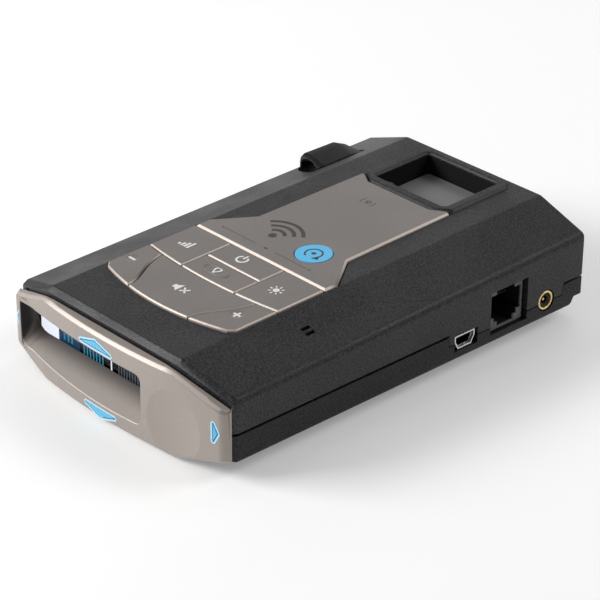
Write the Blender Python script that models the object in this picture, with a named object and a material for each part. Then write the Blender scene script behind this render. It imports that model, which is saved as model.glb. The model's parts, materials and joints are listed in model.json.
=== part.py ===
"""A windscreen radar detector: casing in two shells, front bezel with an off-centre display,
seven keys, a magnetic mount pocket with its release button, and three sockets in the right wall.

Sizes are in millimetres and become metres when a mesh is made. X is to the driver's right, +Y points
to the windscreen, Z is up, and the detector stands on Z = 0 with its footprint centred on the origin.
"""

import math

import bmesh
import bpy
from mathutils import Matrix, Vector

MM = 0.001

# Casing
HALF_WIDTH = 44.5
FRONT_EDGE = -66.5
FAR_END = 70.3
SWEEP = 3.9
RIDGE = 27.05
DECK_HEIGHT = 30.58
DECK_SLOPE = 0.0224
SHOULDER_DROP = 6.1
CHINE_HEIGHT = 4.4
WALL = 2.0
BULKHEAD = 1.6
FRONT_BAND = (1.5, 1.4)
GAP = 0.3

# Parting line between the two shells: the high line, and the low line past the sockets
PARTING_HIGH = 12.7
PARTING_LOW = 9.4
PARTING_DROP = (15.4, 15.7)
PARTING_RISE = (61.5, 62.1)
PARTING_GROOVE = 0.7
PARTING_SEAM = 0.3

# Front bezel
BEZEL_HALF = 44.3
BEZEL_FRONT = -70.3
BEZEL_BULGE = 215.0
BEZEL_BACK = -67.1
BEZEL_TOP = 26.95
BEZEL_BOTTOM = 0.8
BEZEL_CORNER = 2.2
BEZEL_CHAMFER = 1.0
BEZEL_CROWN = 0.35
WINDOW = (-39.1, 15.5, 5.3, 20.8)
WINDOW_BACK = (-38.0, 14.4, 10.5, 20.0)
HOOD_WALL = 1.1
HOOD_END = -61.9
LENS_THICK = 1.0
SCALLOP = (27.0, 10.5, 11.0, 0.9)

# Keypad, in the deck's own plane
KEY_SIDE = 26.6
KEY_FAR = -14.8
KEY_SPLIT = -24.1
KEY_COLUMN = 10.9
ROW_CENTRE = -33.7
ROW_RADIUS = 167.0
PAD_CENTRE = -51.8
PAD_RADIUS = 82.0
PAD_CORNER = (24.8, -46.1)
KEY_GAP = 0.36
KEY_PROUD = 0.7
KEY_DEPTH = 1.6
KEY_TRAVEL = 0.5

# Mount pocket and its release button
POCKET_HALF = 14.0
POCKET_NEAR = 43.7
POCKET_FAR = 65.8
POCKET_DEPTH = 7.3
PLATE_DEPTH = 6.0
RIM_PROUD = 0.8
BUTTON_X = (-42.0, -32.0)
BUTTON_Y = (38.5, 56.4)
BUTTON_CREST = 31.5
BUTTON_UNDER = 24.4
WEDGE_FOOT = (-36.0, 20.9)
WEDGE_RATIO = 0.87
WEDGE_Y = (43.6, 46.8)
LATCH_Y = (47.4, 50.2)
LATCH_Z = (20.9, 22.4)
SPRING_PLACE = (-35.2, 45.2)

# Electronics
BOARD_TOP = 7.0
BOARD_THICK = 1.6
SCREW_PLACES = ((32.0, -51.0), (-32.0, -51.0), (29.0, 57.0), (-29.0, 57.0))
SCREW_RECESS = 0.8
UPPER_BOSS = 3.2
SCREW_HEAD = (2.4, 1.8)

# Sockets in the right wall
USB_Y = (18.1, 25.9)
USB_Z = (7.35, 11.5)
JACK_Y = (32.3, 45.9)
JACK_Z = (7.3, 19.9)
EARPHONE = (54.9, 9.9)
SOCKET_FACE = HALF_WIDTH - 1.3

TILT = math.atan(DECK_SLOPE)
FALL = SHOULDER_DROP / (HALF_WIDTH - RIDGE)
RISE = CHINE_HEIGHT / (HALF_WIDTH - RIDGE)

PAINTS = {
    "casing": ((0.030, 0.030, 0.033), 0.55, 0.0),
    "trim": ((0.235, 0.215, 0.195), 0.38, 0.35),
    "blue": ((0.07, 0.53, 0.90), 0.30, 0.0),
    "lens": ((0.010, 0.010, 0.014), 0.08, 0.0),
    "board": ((0.015, 0.120, 0.050), 0.45, 0.0),
    "metal": ((0.62, 0.62, 0.63), 0.30, 1.0),
    "gold": ((0.83, 0.62, 0.22), 0.25, 1.0),
    "zinc": ((0.45, 0.46, 0.48), 0.45, 1.0),
    "rubber": ((0.020, 0.020, 0.020), 0.80, 0.0),
    "chip": ((0.018, 0.018, 0.020), 0.50, 0.0),
    "grey": ((0.150, 0.150, 0.155), 0.45, 0.0),
    "plate": ((0.150, 0.152, 0.156), 0.40, 0.6),
    "ceramic": ((0.60, 0.55, 0.45), 0.60, 0.0),
    "label": ((0.62, 0.62, 0.62), 0.50, 0.0),
    "ribbon": ((0.50, 0.22, 0.05), 0.45, 0.0),
}


def deck(y):
    """Height of the top face at y."""
    return DECK_HEIGHT + DECK_SLOPE * y


def clear_scene():
    for obj in list(bpy.data.objects):
        bpy.data.objects.remove(obj, do_unlink=True)


def paint_of(name):
    """The material of that name, made once."""
    if name in bpy.data.materials:
        return bpy.data.materials[name]
    colour, roughness, metallic = PAINTS[name]
    material = bpy.data.materials.new(name)
    material.use_nodes = True
    shader = material.node_tree.nodes["Principled BSDF"]
    shader.inputs["Base Color"].default_value = (*colour, 1.0)
    shader.inputs["Roughness"].default_value = roughness
    shader.inputs["Metallic"].default_value = metallic
    material.diffuse_color = (*colour, 1.0)
    return material


def place(name, bm, paint=None, parent=None, origin=(0.0, 0.0, 0.0), smooth=None):
    """Turns a millimetre bmesh into an object in metres whose own origin is at the given point."""
    bmesh.ops.recalc_face_normals(bm, faces=bm.faces)
    bmesh.ops.translate(bm, vec=-Vector(origin), verts=bm.verts)
    bmesh.ops.scale(bm, vec=(MM, MM, MM), verts=bm.verts)
    mesh = bpy.data.meshes.new(name)
    bm.to_mesh(mesh)
    bm.free()
    if smooth is not None:
        mesh.shade_smooth()
        mesh.set_sharp_from_angle(angle=math.radians(smooth))
    obj = bpy.data.objects.new(name, mesh)
    bpy.context.scene.collection.objects.link(obj)
    obj.parent = parent
    obj.location = Vector(origin) * MM
    if paint:
        mesh.materials.append(paint_of(paint))
    return obj


def helper(name, bm, parent=None):
    """A cutter or an addition for a Boolean, which is no part of the detector."""
    obj = place(name, bm, parent=parent)
    obj.hide_render = True
    obj.display_type = "WIRE"
    return obj


def combine(obj, other, operation):
    modifier = obj.modifiers.new(other.name, "BOOLEAN")
    modifier.operation = operation
    modifier.solver = "EXACT"
    modifier.object = other


def cut(obj, name, bm, parent=None):
    combine(obj, helper(name, bm, parent), "DIFFERENCE")


def add(obj, name, bm, parent=None):
    combine(obj, helper(name, bm, parent), "UNION")


def loft(rings, caps=True, bm=None):
    """A closed solid through rings that all have the same number of points."""
    bm = bm or bmesh.new()
    rows = [[bm.verts.new(point) for point in ring] for ring in rings]
    for near, far in zip(rows, rows[1:]):
        for i in range(len(near)):
            j = (i + 1) % len(near)
            bm.faces.new((near[i], near[j], far[j], far[i]))
    if caps:
        bm.faces.new(rows[0])
        bm.faces.new(rows[-1])
    return bm


def prism(outline, axis, start, end, bm=None):
    """An outline in the two other axes' order (x, y, z), drawn out along one axis from start to end."""
    slot = "xyz".index(axis)

    def ring(height):
        return [(*point[:slot], height, *point[slot:]) for point in outline]

    return loft([ring(start), ring(end)], bm=bm)


def box(x, y, z, bm=None):
    return prism([(x[0], y[0]), (x[1], y[0]), (x[1], y[1]), (x[0], y[1])], "z", *z, bm=bm)


def circle(centre, radius, steps=24, start=0.0):
    angles = [start + 2 * math.pi * i / steps for i in range(steps)]
    return [(centre[0] + radius * math.cos(a), centre[1] + radius * math.sin(a)) for a in angles]


def rounded(x, y, radius, steps=4):
    """A rectangle with round corners, counter-clockwise. The radius may be one number or one per corner."""
    radii = radius if isinstance(radius, tuple) else (radius,) * 4
    corners = ((x[1], y[1]), (x[0], y[1]), (x[0], y[0]), (x[1], y[0]))
    points = []
    for quarter, (corner, size) in enumerate(zip(corners, radii)):
        turn = quarter * math.pi / 2
        inward = (-1 if corner[0] == x[1] else 1, -1 if corner[1] == y[1] else 1)
        centre = (corner[0] + inward[0] * size, corner[1] + inward[1] * size)
        for i in range(steps + 1):
            angle = turn + math.pi / 2 * i / steps
            points.append((centre[0] + size * math.cos(angle), centre[1] + size * math.sin(angle)))
    return points


def shrink(outline, distance):
    """The outline with every edge moved inwards by the distance (outwards if it is negative)."""
    count = len(outline)
    area = sum(
        outline[i][0] * outline[(i + 1) % count][1] - outline[(i + 1) % count][0] * outline[i][1]
        for i in range(count)
    )
    turn = 1 if area > 0 else -1
    points = []
    for i in range(count):
        before, here, after = (Vector(outline[(i + k) % count]) for k in (-1, 0, 1))
        first = (here - before).normalized()
        second = (after - here).normalized()
        normals = [Vector((-edge.y, edge.x)) * turn for edge in (first, second)]
        middle = (normals[0] + normals[1]).normalized()
        points.append(tuple(here + middle * distance / max(0.3, middle.dot(normals[0]))))
    return points


def cap_plate(outline, low, high, chamfer, bm=None):
    """A plate whose top edge is chamfered all round."""
    inner = shrink(outline, chamfer)
    rings = [
        [(*point, low) for point in outline],
        [(*point, high - chamfer) for point in outline],
        [(*point, high) for point in inner],
    ]
    return loft(rings, bm=bm)


def tube(centre, radius, start, end, axis="z", steps=24, bm=None):
    return prism(circle(centre, radius, steps), axis, start, end, bm=bm)


# ---------------------------------------------------------------- casing


def casing_ring(y_centre, top_in=0.0, side_in=0.0, bottom_in=0.0):
    """The casing's eight-sided section. Its outer points lie further back where the front is swept."""
    side = HALF_WIDTH - side_in
    y_side = y_centre
    if y_centre < 0:
        y_side += SWEEP * (side - RIDGE) / (HALF_WIDTH - RIDGE)
    ridge = (RIDGE, y_centre, deck(y_centre) - top_in)
    shoulder = (side, y_side, deck(y_side) - top_in - FALL * (side - RIDGE))
    chine = (side, y_side, bottom_in + RISE * (side - RIDGE))
    keel = (RIDGE, y_centre, bottom_in)
    right = [keel, chine, shoulder, ridge]
    return right + [(-x, y, z) for x, y, z in reversed(right)]


def casing_block(rings):
    """The solid through casing sections, with end faces that follow the swept sides."""
    bm = loft(rings, caps=False)
    bm.verts.ensure_lookup_table()
    size = len(rings[0])
    for start in (0, size * (len(rings) - 1)):
        ring = bm.verts[start : start + size]
        bm.faces.new((ring[0], ring[3], ring[4], ring[7]))
        bm.faces.new(ring[0:4])
        bm.faces.new(ring[4:8])
    return bm


def casing_outside():
    forward, down = FRONT_BAND
    rings = [
        casing_ring(FRONT_EDGE, down, 0.7, 0.8),
        casing_ring(FRONT_EDGE + forward),
        casing_ring(FAR_END),
    ]
    bm = casing_block(rings)
    weights = bm.edges.layers.float.new("bevel_weight_edge")
    bm.edges.ensure_lookup_table()
    for edge in bm.edges:
        first, second = (vert.co for vert in edge.verts)
        along = abs(first.y - second.y) > 100
        if along and abs(first.x) > RIDGE + 1:
            edge[weights] = 1.0 if first.z > 10 else 0.5
        elif along and first.z > 10:
            edge[weights] = 0.2
        elif first.y > FAR_END - 1 and second.y > FAR_END - 1 and len(edge.link_faces) == 2:
            edge[weights] = 0.4
    return bm


def casing_inside():
    rings = [
        casing_ring(FRONT_EDGE + BULKHEAD, WALL, WALL, WALL),
        casing_ring(FAR_END - WALL, WALL, WALL, WALL),
    ]
    return casing_block(rings)


def soften(obj, width, segments=3):
    modifier = obj.modifiers.new("Soft edges", "BEVEL")
    modifier.limit_method = "WEIGHT"
    modifier.width = width * MM
    modifier.segments = segments


def parting_cutter(side, below, offset):
    """Everything below the parting line, or above it, moved by an offset so that a groove stays open.
    The line is level on the left, and steps down past the sockets on the right."""
    limit = -20 if below else 60
    edge = offset if below else -offset
    high = PARTING_HIGH + edge
    low = PARTING_LOW + edge * PARTING_SEAM / PARTING_GROOVE
    steps = [(-90, high), (PARTING_DROP[0], high), (PARTING_DROP[1], low)]
    steps += [(PARTING_RISE[0], low), (PARTING_RISE[1], high), (90, high)]
    profile = steps + [(90, limit), (-90, limit)]
    if side == "left":
        profile = [(-90, high), (90, high), (90, limit), (-90, limit)]
        return prism(profile, "x", -60.0, 30.5)
    return prism(profile, "x", 30.0, 60.0)


def hood_opening():
    """The hole in the bulkhead for the display hood."""
    return box((-41.0, 17.2), (-69.0, -62.0), (2.9, 22.4))


def pipe_openings():
    """The holes in the bulkhead for the four light pipes."""
    bm = box((-9.2, 6.8), (-69.0, -62.0), (21.0, 25.2))
    box((-9.2, 6.8), (-69.0, -62.0), (1.2, 4.0), bm=bm)
    for side in (-1, 1):
        box(sorted((side * 39.6, side * 42.9)), (-69.0, -58.0), (9.6, 17.4), bm=bm)
    return bm


def socket_openings():
    """The holes in the right wall for the three sockets."""
    wall = (HALF_WIDTH - 4.0, HALF_WIDTH + 2.0)
    bm = box(wall, (USB_Y[0] - 0.3, USB_Y[1] + 0.9), (USB_Z[0] - 0.4, USB_Z[1] + 0.3))
    box(wall, (JACK_Y[0] - GAP, JACK_Y[1] + 0.9), (JACK_Z[0] - GAP, JACK_Z[1] + GAP), bm=bm)
    return tube(EARPHONE, 3.3, *wall, axis="x", steps=32, bm=bm)


def mount_rim():
    """The raised rim round the mount pocket."""
    return cap_plate(chamfered(17.9, 40.0, 69.2, (5.0, 3.4), 3.2), -1.0, RIM_PROUD, 0.75)


def mount_tub():
    """The walled tub that hangs below the deck and holds the strike plate."""
    across = grow((-POCKET_HALF, POCKET_HALF), 1.5)
    lengthways = grow((POCKET_NEAR, POCKET_FAR), 1.5)
    return prism(rounded(across, lengthways, 1.0, 2), "z", -POCKET_DEPTH - 1.6, -0.5)


def chamfered(half, near, far, near_cut, far_cut):
    """A rectangle about the middle line with its four corners cut off."""
    right = [
        (half - near_cut[0], near),
        (half, near + near_cut[1]),
        (half, far - far_cut),
        (half - far_cut, far),
    ]
    return right + [(-x, y) for x, y in reversed(right)]


def mount_pocket():
    hole = chamfered(POCKET_HALF, POCKET_NEAR, POCKET_FAR, (0.8, 0.8), 0.8)
    mouth = shrink(hole, -0.8)
    rings = [
        [(*point, -POCKET_DEPTH) for point in hole],
        [(*point, 0.1) for point in hole],
        [(*point, RIM_PROUD + 0.1) for point in mouth],
    ]
    return loft(rings)


def upper_bosses():
    """The upper shell's four screw bosses, whose tops end inside the slanting wall."""
    bm = bmesh.new()
    for centre in SCREW_PLACES:
        rim = circle(centre, UPPER_BOSS)
        top = [(x, y, deck(y) - FALL * max(0.0, abs(x) - RIDGE) - WALL / 2) for x, y in rim]
        loft([[(x, y, BOARD_TOP + 1.4) for x, y in rim], top], bm=bm)
    return bm


def bosses(low, tops, radius):
    bm = bmesh.new()
    for (x, y), top in zip(SCREW_PLACES, tops):
        tube((x, y), radius, low, top, bm=bm)
    return bm


def grille_slots():
    """Five sound slots in the left wall, in front of the speaker."""
    bm = bmesh.new()
    for i in range(5):
        y = -14.0 + 3.6 * i
        box((-HALF_WIDTH - 1.0, -HALF_WIDTH + 3.0), (y, y + 1.4), (14.6, 19.0), bm=bm)
    return bm


def facet_slots():
    """The two short slots in the right facet."""
    bm = bmesh.new()
    for x in (33.6, 35.4):
        box((x, x + 0.9), (-30.0, -27.1), (20.0, 32.0), bm=bm)
    return bm


def make_top_casing(deck_frame):
    top = place("top_casing", casing_outside(), "casing", smooth=30)
    soften(top, 2.0)
    cut(top, "cut_top_hollow", casing_inside())
    for side in ("left", "right"):
        cut(top, "cut_top_parting_" + side, parting_cutter(side, True, PARTING_GROOVE / 2))
    cut(top, "cut_top_hood", hood_opening())
    cut(top, "cut_top_pipes", pipe_openings())
    add(top, "add_top_bosses", upper_bosses())
    add(top, "add_mount_tub", mount_tub(), deck_frame)
    add(top, "add_mount_rim", mount_rim(), deck_frame)
    cut(top, "cut_mount_pocket", mount_pocket(), deck_frame)
    cut(top, "cut_badge_seat", prism(shrink(badge_outline(), -GAP), "z", -0.8, 4.0), deck_frame)
    cut(top, "cut_keypad_well", prism(shrink(keypad_outline(), -0.1), "z", -6.0, 4.0), deck_frame)
    cut(top, "cut_button_hole", button_hole())
    cut(top, "cut_latch_slot", box((-18.0, -12.0), grow(LATCH_Y), grow((26.7, 28.0))))
    cut(top, "cut_top_sockets", socket_openings())
    cut(top, "cut_grille", grille_slots())
    cut(top, "cut_facet_slots", facet_slots())
    cut(top, "cut_laser_window", laser_outline(GAP, FAR_END - 4.0, FAR_END + 2.0))
    cut(top, "cut_pilot_holes", bosses(0.0, [24.0] * 4, 1.5))
    return top


def far_notch():
    """The step that lifts the underside at the far end."""
    rings = []
    for y, lift in ((64.9, -0.5), (66.8, 2.6), (90.0, 2.6)):
        line = [(-60.0, RISE * (60 - RIDGE)), (-RIDGE, 0.0), (RIDGE, 0.0), (60.0, RISE * (60 - RIDGE))]
        ring = [(x, y, z + lift) for x, z in line]
        rings.append(ring + [(60.0, y, -20.0), (-60.0, y, -20.0)])
    return loft(rings)


def bottom_inside():
    """The lower shell's hollow, which stays clear of the step at the far end."""
    rings = [
        casing_ring(FRONT_EDGE + BULKHEAD, WALL, WALL, WALL),
        casing_ring(63.0, WALL, WALL, WALL),
    ]
    return casing_block(rings)


def board_posts():
    bm = bmesh.new()
    for x, y in ((-28.0, -44.0), (34.0, -40.0), (-28.0, 34.0), (12.0, 36.0)):
        tube((x, y), 2.2, keel(x) + 1.0, BOARD_TOP - BOARD_THICK - GAP, bm=bm)
    return bm


def keel(x):
    """Height of the underside at x, which is flat in the middle and rises towards the sides."""
    return RISE * max(0.0, abs(x) - RIDGE)


def screw_holes():
    bm = bmesh.new()
    for x, y in SCREW_PLACES:
        seat = keel(x) + SCREW_RECESS + SCREW_HEAD[1] + GAP
        steps = ((2.8, -1.0), (2.8, seat), (1.55, seat), (1.55, 12.0))
        loft([[(*point, z) for point in circle((x, y), radius)] for radius, z in steps], bm=bm)
    return bm


def make_bottom_casing():
    bottom = place("bottom_casing", casing_outside(), "casing", smooth=30)
    soften(bottom, 2.0)
    cut(bottom, "cut_bottom_hollow", bottom_inside())
    cut(bottom, "cut_bottom_rear", box((-40.0, 40.0), (62.0, FAR_END - WALL), (7.2, 20.0)))
    for side in ("left", "right"):
        cut(bottom, "cut_bottom_parting_" + side, parting_cutter(side, False, PARTING_GROOVE / 2))
    cut(bottom, "cut_far_notch", far_notch())
    cut(bottom, "cut_bottom_hood", hood_opening())
    cut(bottom, "cut_bottom_pipes", pipe_openings())
    add(bottom, "add_bottom_bosses", bosses(2.2, [BOARD_TOP + 1.1] * 4, 4.0))
    add(bottom, "add_board_posts", board_posts())
    add(bottom, "add_spring_post", tube(SPRING_PLACE, 2.6, 3.5, 11.6))
    cut(bottom, "cut_screw_holes", screw_holes())
    cut(bottom, "cut_bottom_sockets", socket_openings())
    cut(bottom, "cut_label_seat", box((-20.6, 20.6), (-12.6, 12.6), (-1.0, 0.6)))
    return bottom


def grow(span, by=GAP):
    return (span[0] - by, span[1] + by)


# ---------------------------------------------------------------- front bezel, display and arrows


def bezel_front(x):
    """Where the bezel's front face lies at x: a shallow bulge with round outer corners."""
    y = BEZEL_FRONT + x * x / (2 * BEZEL_BULGE)
    over = abs(x) - (BEZEL_HALF - BEZEL_CORNER)
    if over > 0:
        y += BEZEL_CORNER - math.sqrt(max(0.0, BEZEL_CORNER**2 - over**2))
    return y


def bezel_back(x):
    """Where the bezel's back lies at x, a gap in front of the casing's swept edge."""
    return BEZEL_BACK + SWEEP * max(0.0, abs(x) - RIDGE) / (HALF_WIDTH - RIDGE)


def bezel_ring(x):
    """The bezel's section at x, from its back over the top and down the front."""
    out = max(0.0, abs(x) - 26.3)
    top = BEZEL_TOP - 0.336 * out
    bottom = BEZEL_BOTTOM + 0.27 * max(0.0, abs(x) - RIDGE)
    back = bezel_back(x)
    front = min(bezel_front(x), back - 0.6)
    edge = min(BEZEL_CHAMFER, (back - front) / 2)
    return [
        (x, back, bottom),
        (x, back, top),
        (x, front + edge, top - BEZEL_CROWN),
        (x, front, top - BEZEL_CROWN - edge),
        (x, front, bottom + 0.8),
        (x, front + edge, bottom),
    ]


def bezel_columns():
    """Where the bezel's sections are taken: closer together round the outer corners."""
    middle = [RIDGE * i / 8 for i in range(9)]
    outer = [31.0, 35.0, 38.5, BEZEL_HALF - BEZEL_CORNER]
    corner = [BEZEL_HALF - BEZEL_CORNER * (1 - math.sin(math.radians(a))) for a in (22, 45, 68, 90)]
    right = middle + outer + corner
    return [-x for x in reversed(right[1:])] + right


def window_ring(spans, y, radii):
    x0, x1, z0, z1 = spans
    return [(x, y, z) for x, z in rounded((x0, x1), (z0, z1), radii)]


def window_at(y):
    """The display window's four sides at y, on the taper from the bezel's face to the hood's end."""
    share = (y - BEZEL_FRONT) / (HOOD_END - BEZEL_FRONT)
    return [a + (b - a) * share for a, b in zip(WINDOW, WINDOW_BACK)]


def window_cutter():
    radii = (2.0, 0.8, 4.0, 2.0)
    return loft([window_ring(window_at(y), y, radii) for y in (-72.0, HOOD_END + 1.0)])


def hood_block():
    rings = []
    for y in (-67.6, HOOD_END):
        x0, x1, z0, z1 = window_at(y)
        spans = (x0 - HOOD_WALL, x1 + HOOD_WALL, z0 - HOOD_WALL, z1 + HOOD_WALL)
        rings.append(window_ring(spans, y, (2.4, 1.6, 4.0, 2.4)))
    return loft(rings)


def scallop_cutter():
    """A shallow round dish right of the window, square to the bulged face there."""
    x, z, reach, depth = SCALLOP
    shares = (1.0, 0.85, 0.68, 0.5, 0.3, 0.08)
    rings = [[(u, -2.0, v) for u, v in circle((0, 0), reach, 40)]]
    for share in shares:
        sink = depth * (1 - share**2)
        rings.append([(u, sink, v) for u, v in circle((0, 0), reach * share, 40)])
    bm = loft(rings)
    turn = Matrix.Rotation(math.atan(x / BEZEL_BULGE), 3, "Z")
    bmesh.ops.rotate(bm, cent=(0, 0, 0), matrix=turn, verts=bm.verts)
    bmesh.ops.translate(bm, vec=(x, bezel_front(x), z), verts=bm.verts)
    return bm


# Each arrow's outline on the bezel as (x, z), the point its light pipe narrows to, and where it ends
ARROWS = {
    "up": ([(-8.8, 22.0), (4.0, 22.0), (-2.4, 23.95)], (-2.4, 22.9), -63.2),
    "down": ([(-7.4, 3.55), (5.1, 3.55), (-1.1, 1.55)], (-1.1, 3.0), -63.2),
    "left": ([(-40.6, 11.3), (-40.6, 16.5), (-42.0, 13.9)], (-41.2, 13.9), -60.9),
    "right": ([(40.6, 11.3), (40.6, 16.5), (42.0, 13.9)], (41.2, 13.9), -60.9),
}
PIPE_TAPER = 0.42
ARROW_GAP = 0.24


def make_light_pipe(name):
    """A clear arrow that fills its hole in the bezel and narrows towards its lamp."""
    outline, aim, end = ARROWS[name]
    narrow = [(aim[0] + (x - aim[0]) * PIPE_TAPER, aim[1] + (z - aim[1]) * PIPE_TAPER) for x, z in outline]
    rings = [
        [(x, bezel_front(x) - 0.1, z) for x, z in outline],
        [(x, bezel_back(x) - 0.3, z) for x, z in outline],
        [(x, end, z) for x, z in narrow],
    ]
    place("light_pipe_" + name, loft(rings), "blue")


def arrow_holes():
    bm = bmesh.new()
    for outline, _, _ in ARROWS.values():
        prism(round_offset(outline, ARROW_GAP), "y", -74.0, -60.0, bm=bm)
    return bm


def round_offset(outline, distance, steps=4):
    """The line at a distance outside a convex outline, which turns round each corner on an arc."""
    count = len(outline)
    middle = sum((Vector(point) for point in outline), Vector((0, 0))) / count
    points = []
    for i in range(count):
        before, here, after = (Vector(outline[(i + k) % count]) for k in (-1, 0, 1))
        sides = []
        for edge in (here - before, after - here):
            across = Vector((edge.y, -edge.x)).normalized()
            sides.append(across if across.dot(here - middle) > 0 else -across)
        for step in range(steps + 1):
            points.append(tuple(here + sides[0].slerp(sides[1], step / steps) * distance))
    return points


def make_bezel():
    bezel = place("front_bezel", loft([bezel_ring(x) for x in bezel_columns()]), "trim", smooth=32)
    add(bezel, "add_hood", hood_block())
    cut(bezel, "cut_window", window_cutter())
    cut(bezel, "cut_arrows", arrow_holes())
    cut(bezel, "cut_scallop", scallop_cutter())
    return bezel


def make_display():
    x0, x1, z0, z1 = WINDOW_BACK
    lens = rounded((x0 - 1.4, x1 + 1.4), (z0 - 1.2, z1 + 1.2), 0.8, 2)
    face = HOOD_END + GAP
    place("display_lens", prism(lens, "y", face, face + LENS_THICK), "lens")
    panel = face + LENS_THICK + GAP
    place("display_module", box((x0 - 1.0, x1 + 1.0), (panel, panel + 1.6), (z0 - 1.6, z1 + 1.6)), "chip")
    low = BOARD_TOP + 0.4
    board = [(-41.6, low), (41.6, low), (41.6, 21.4), (31.5, 25.0), (-31.5, 25.0), (-41.6, 21.4)]
    place("display_board", prism(board, "y", -58.2, -56.6), "board")
    for name, (_, (x, z), end) in ARROWS.items():
        lamp = box((x - 0.5, x + 0.5), (end + GAP, -58.5), (z - 0.5, z + 0.5))
        place("lamp_" + name, lamp, "label")
    ribbon = [(-56.3, 9.0), (-56.05, 9.0), (-55.4, 8.0), (-46.0, 7.6), (-46.0, 7.3), (-55.6, 7.7)]
    place("display_ribbon", prism(ribbon, "x", -18.0, -6.0), "ribbon")


# ---------------------------------------------------------------- keypad and badge plate


def row_line(x):
    """The arc between the two rows of keys."""
    return ROW_CENTRE + ROW_RADIUS - math.sqrt(ROW_RADIUS**2 - x * x)


def pad_line(x):
    """The arc along the keypad's near edge."""
    return PAD_CENTRE + PAD_RADIUS - math.sqrt(PAD_RADIUS**2 - x * x)


def along(line, start, end, steps):
    return [(x, line(x)) for x in (start + (end - start) * i / steps for i in range(steps + 1))]


def s_curve(side, steps=8):
    """The curved joint between the mute key and the key at its side, from the near edge inwards."""
    handles = [(12.3, pad_line(12.3)), (12.6, -44.5), (18.2, -41.5), (19.5, row_line(19.5))]
    points = []
    for i in range(steps + 1):
        t = i / steps
        weights = ((1 - t) ** 3, 3 * t * (1 - t) ** 2, 3 * t * t * (1 - t), t**3)
        x = sum(w * h[0] for w, h in zip(weights, handles))
        y = sum(w * h[1] for w, h in zip(weights, handles))
        points.append((side * x, y))
    return points


def keypad_outline():
    """The whole keypad's edge, counter-clockwise from its near left corner."""
    corner_x, corner_y = PAD_CORNER
    points = along(pad_line, -corner_x, corner_x, 16)
    points += [(KEY_SIDE, corner_y), (KEY_SIDE, KEY_FAR), (-KEY_SIDE, KEY_FAR), (-KEY_SIDE, corner_y)]
    return points


def key_outlines():
    """Each key's outline, counter-clockwise, before the gaps are taken off."""
    corner_x, corner_y = PAD_CORNER
    column = KEY_COLUMN
    keys = {}
    keys["key_sensitivity"] = along(row_line, -KEY_SIDE, -column, 5) + [
        (-column, KEY_FAR),
        (-KEY_SIDE, KEY_FAR),
    ]
    keys["key_brightness"] = along(row_line, column, KEY_SIDE, 5) + [
        (KEY_SIDE, KEY_FAR),
        (column, KEY_FAR),
    ]
    keys["key_power"] = [(-column, KEY_SPLIT), (column, KEY_SPLIT), (column, KEY_FAR), (-column, KEY_FAR)]
    keys["key_mark"] = along(row_line, -column, column, 6) + [(column, KEY_SPLIT), (-column, KEY_SPLIT)]
    mute = along(pad_line, -12.3, 12.3, 8)[:-1] + s_curve(1)
    keys["key_mute"] = mute + along(row_line, 19.5, -19.5, 12)[1:-1] + s_curve(-1)[::-1][:-1]
    plus = along(pad_line, 12.3, corner_x, 5) + [(KEY_SIDE, corner_y)]
    plus += along(row_line, KEY_SIDE, 19.5, 3) + s_curve(1)[::-1][1:-1]
    keys["key_plus"] = plus
    keys["key_minus"] = [(-x, y) for x, y in reversed(plus)]
    return keys


KEY_CENTRES = {
    "key_sensitivity": (-18.8, -23.6),
    "key_brightness": (18.8, -23.6),
    "key_power": (0.0, -19.5),
    "key_mark": (0.0, -28.9),
    "key_mute": (0.0, -42.6),
    "key_plus": (20.6, -42.0),
    "key_minus": (-20.6, -42.0),
}


# The round finger dimples in the two outer near keys
DIMPLES = {"key_minus": (-23.3, -40.3), "key_plus": (20.3, -40.3)}
DIMPLE_RADIUS = 2.3
DIMPLE_DEPTH = 0.35


def dimple(x, y):
    rings = [[(*point, KEY_PROUD + 1.0) for point in circle((x, y), DIMPLE_RADIUS)]]
    for share in (1.0, 0.8, 0.5):
        height = KEY_PROUD - DIMPLE_DEPTH * (1 - share**2)
        rings.append([(*point, height) for point in circle((x, y), DIMPLE_RADIUS * share)])
    return loft(rings)


def make_keys(deck_frame):
    for name, outline in key_outlines().items():
        cap = cap_plate(shrink(outline, KEY_GAP / 2), -KEY_DEPTH, KEY_PROUD, 0.4)
        x, y = KEY_CENTRES[name]
        key = place(name, cap, "trim", deck_frame, origin=(x, y, 0.0))
        if name in DIMPLES:
            cut(key, "cut_dimple_" + name, dimple(*DIMPLES[name]), deck_frame)


def make_key_parts(deck_frame):
    """The rubber mat under the keys, the board below it and one dome switch under each key."""
    mat = place("keypad_mat", box((-28.5, 28.5), (-53.6, -13.4), (-3.6, -2.8)), "rubber", deck_frame)
    holes = bmesh.new()
    for centre in KEY_CENTRES.values():
        tube(centre, 2.2, -5.0, -1.0, steps=16, bm=holes)
    cut(mat, "cut_switch_holes", holes, deck_frame)
    place("key_board", box((-28.5, 28.5), (-46.5, 38.0), (-7.9, -6.5)), "board", deck_frame)
    for name, centre in KEY_CENTRES.items():
        square = rounded((centre[0] - 2.6, centre[0] + 2.6), (centre[1] - 2.6, centre[1] + 2.6), 0.5, 2)
        stem = circle(centre, 1.5, 12)
        bm = prism(square, "z", -6.2, -4.5)
        switch = place(name.replace("key", "switch"), bm, "chip", deck_frame)
        add(switch, "stem_" + name, prism(stem, "z", -4.7, -2.25), deck_frame)


BADGE_NEAR = -14.45


def badge_outline():
    """The badge plate's edge, counter-clockwise: wide at the keys, narrow by the mount pocket."""
    right = [
        (26.5, BADGE_NEAR),
        (26.5, -9.8),
        (18.4, 1.5),
        (18.0, 41.6),
        (17.2, 42.5),
        (14.9, 41.3),
        (12.4, 39.6),
    ]
    return right + [(-x, y) for x, y in reversed(right)]


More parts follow.
